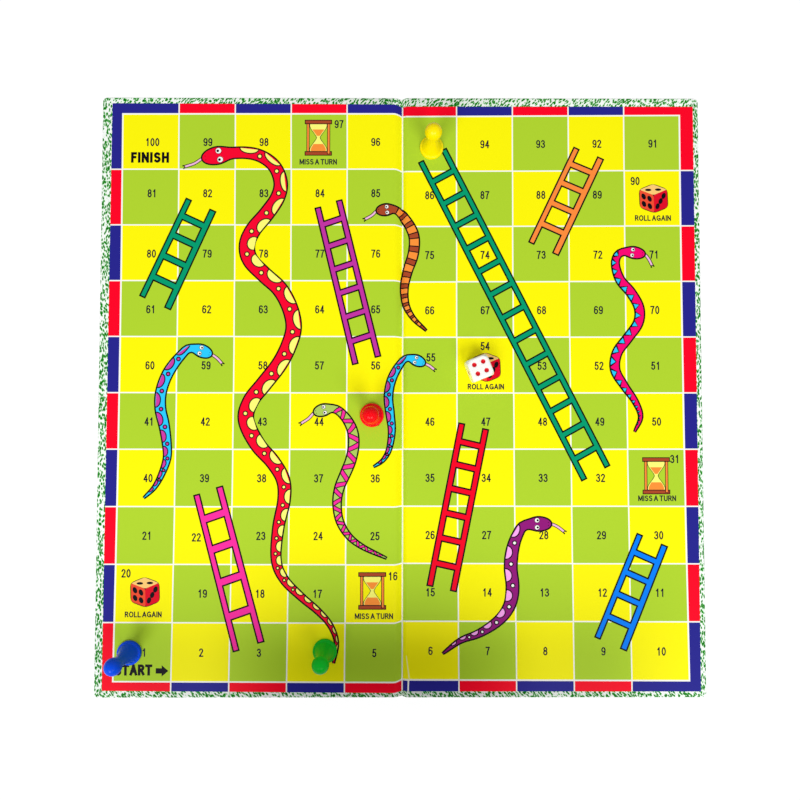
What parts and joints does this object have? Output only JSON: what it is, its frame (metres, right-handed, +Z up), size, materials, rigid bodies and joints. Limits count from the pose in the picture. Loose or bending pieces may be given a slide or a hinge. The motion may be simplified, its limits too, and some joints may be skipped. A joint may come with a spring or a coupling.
{
  "type": "folding snakes and ladders board",
  "caption": "Folding game board printed with a numbered grid of squares, ladders and snakes, with ball-headed pawns and a spotted die.",
  "frame": {"origin": "middle of the open board's underside, on the table", "axes": "+X from the left edge to the right edge, +Y from the start row to the finish row, +Z up from the table"},
  "size_m": [0.33, 0.328, 0.027],
  "materials": {
    "greyboard": "matte",
    "cover_paper": "satin",
    "printed_sheet": "gloss",
    "yellow_plastic": "gloss",
    "red_plastic": "gloss",
    "blue_plastic": "gloss",
    "green_plastic": "gloss",
    "white_plastic": "gloss",
    "red_paint": "satin"
  },
  "bodies": {
    "spine": {"spine_cover": "cover_paper", "crease_left": "printed_sheet", "crease_right": "printed_sheet"},
    "left_panel": {"left_core": "greyboard", "left_cover": "cover_paper", "left_sheet": "printed_sheet"},
    "right_panel": {"right_core": "greyboard", "right_cover": "cover_paper", "right_sheet": "printed_sheet"},
    "yellow_pawn": {"yellow_pawn": "yellow_plastic"},
    "red_pawn": {"red_pawn": "red_plastic"},
    "blue_pawn": {"blue_pawn": "blue_plastic"},
    "green_pawn": {"green_pawn": "green_plastic"},
    "die": {"die": "white_plastic", "die_pips": "red_paint"}
  },
  "joints": [
    {"name": "left_fold", "type": "hinge", "parent": "spine", "child": "left_panel", "pos_m": [-0.003, 0, 0.0003], "axis": [0, 1, 0], "range_deg": [0, 90], "deforming": ["crease_left"]},
    {"name": "right_fold", "type": "hinge", "parent": "spine", "child": "right_panel", "pos_m": [0.003, 0, 0.0003], "axis": [0, -1, 0], "range_deg": [0, 90], "deforming": ["crease_right"]},
    {"name": "yellow_lift", "type": "slide", "parent": "spine", "child": "yellow_pawn", "axis": [0, 0, 1], "range_m": [0, 0.32]},
    {"name": "red_lift", "type": "slide", "parent": "spine", "child": "red_pawn", "axis": [0, 0, 1], "range_m": [0, 0.32]},
    {"name": "blue_lift", "type": "slide", "parent": "spine", "child": "blue_pawn", "axis": [0, 0, 1], "range_m": [0, 0.32]},
    {"name": "green_lift", "type": "slide", "parent": "spine", "child": "green_pawn", "axis": [0, 0, 1], "range_m": [0, 0.32]},
    {"name": "die_lift", "type": "slide", "parent": "spine", "child": "die", "axis": [0, 0, 1], "range_m": [0, 0.32]}
  ],
  "couplings": [
    {"joint": "right_fold", "follows": "left_fold", "ratio": 1},
    {"joint": "yellow_lift", "follows": "left_fold", "m_per_rad": 0.2},
    {"joint": "red_lift", "follows": "left_fold", "m_per_rad": 0.2},
    {"joint": "blue_lift", "follows": "left_fold", "m_per_rad": 0.2},
    {"joint": "green_lift", "follows": "left_fold", "m_per_rad": 0.2},
    {"joint": "die_lift", "follows": "left_fold", "m_per_rad": 0.2}
  ]
}
